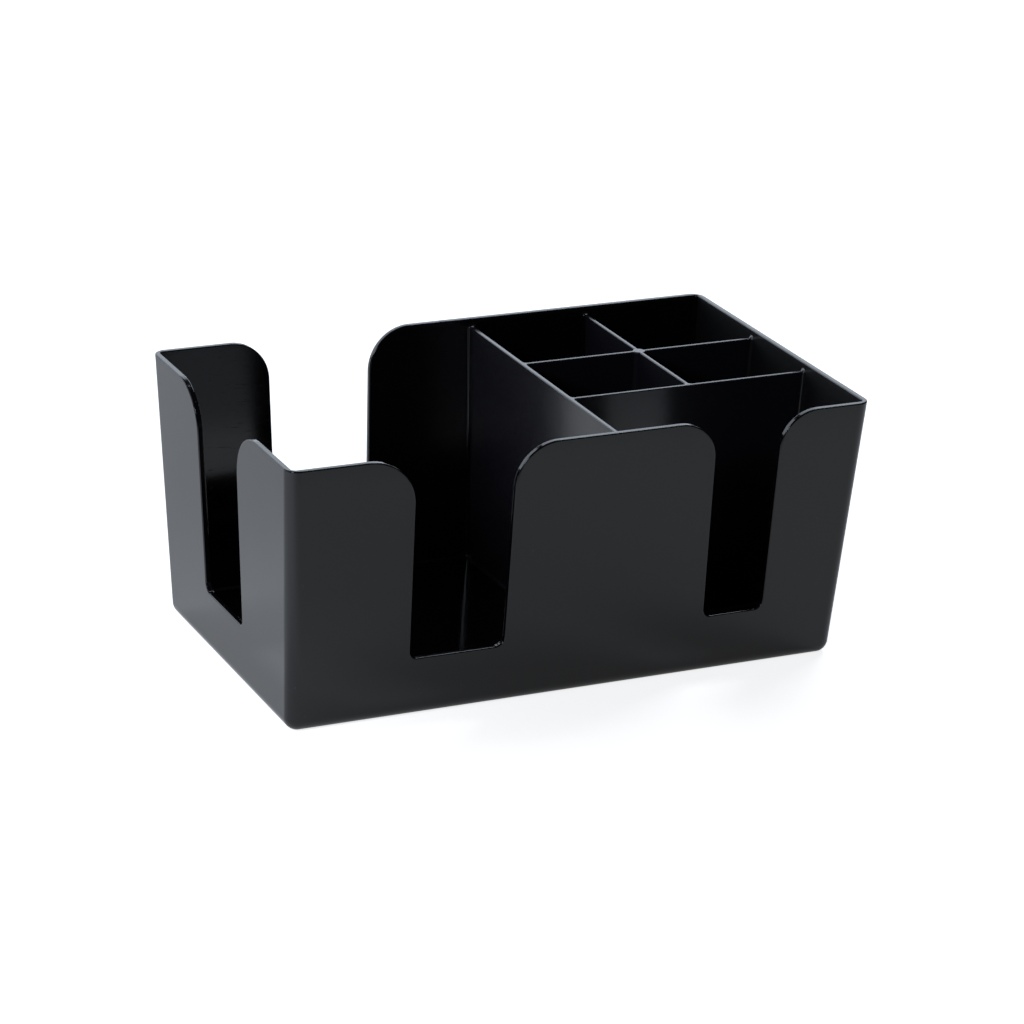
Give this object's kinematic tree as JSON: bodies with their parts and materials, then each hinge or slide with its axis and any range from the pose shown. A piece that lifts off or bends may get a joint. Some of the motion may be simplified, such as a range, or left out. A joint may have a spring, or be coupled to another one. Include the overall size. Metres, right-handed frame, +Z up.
{
  "type": "bar caddy",
  "caption": "Open desk-top bar caddy in black moulded plastic with flared walls, U-shaped cut-outs and a napkin bay beside divided compartments.",
  "frame": {"origin": "centre of the footprint, on the plane that the caddy stands on", "axes": "+X along the length, towards the divided end; +Y from the front wall to the back wall; +Z up"},
  "size_m": [0.241, 0.1442, 0.1073],
  "materials": {
    "caddy_plastic": "satin to semi-gloss black moulded ABS, fine scuffs"
  },
  "bodies": {
    "root": {"foot_rim": "caddy_plastic", "floor_panel": "caddy_plastic", "front_wall": "caddy_plastic", "back_wall": "caddy_plastic", "left_wall": "caddy_plastic", "right_wall": "caddy_plastic", "main_divider": "caddy_plastic", "front_cross_divider": "caddy_plastic", "back_cross_divider": "caddy_plastic", "short_divider": "caddy_plastic", "divider_post": "caddy_plastic"}
  },
  "joints": []
}
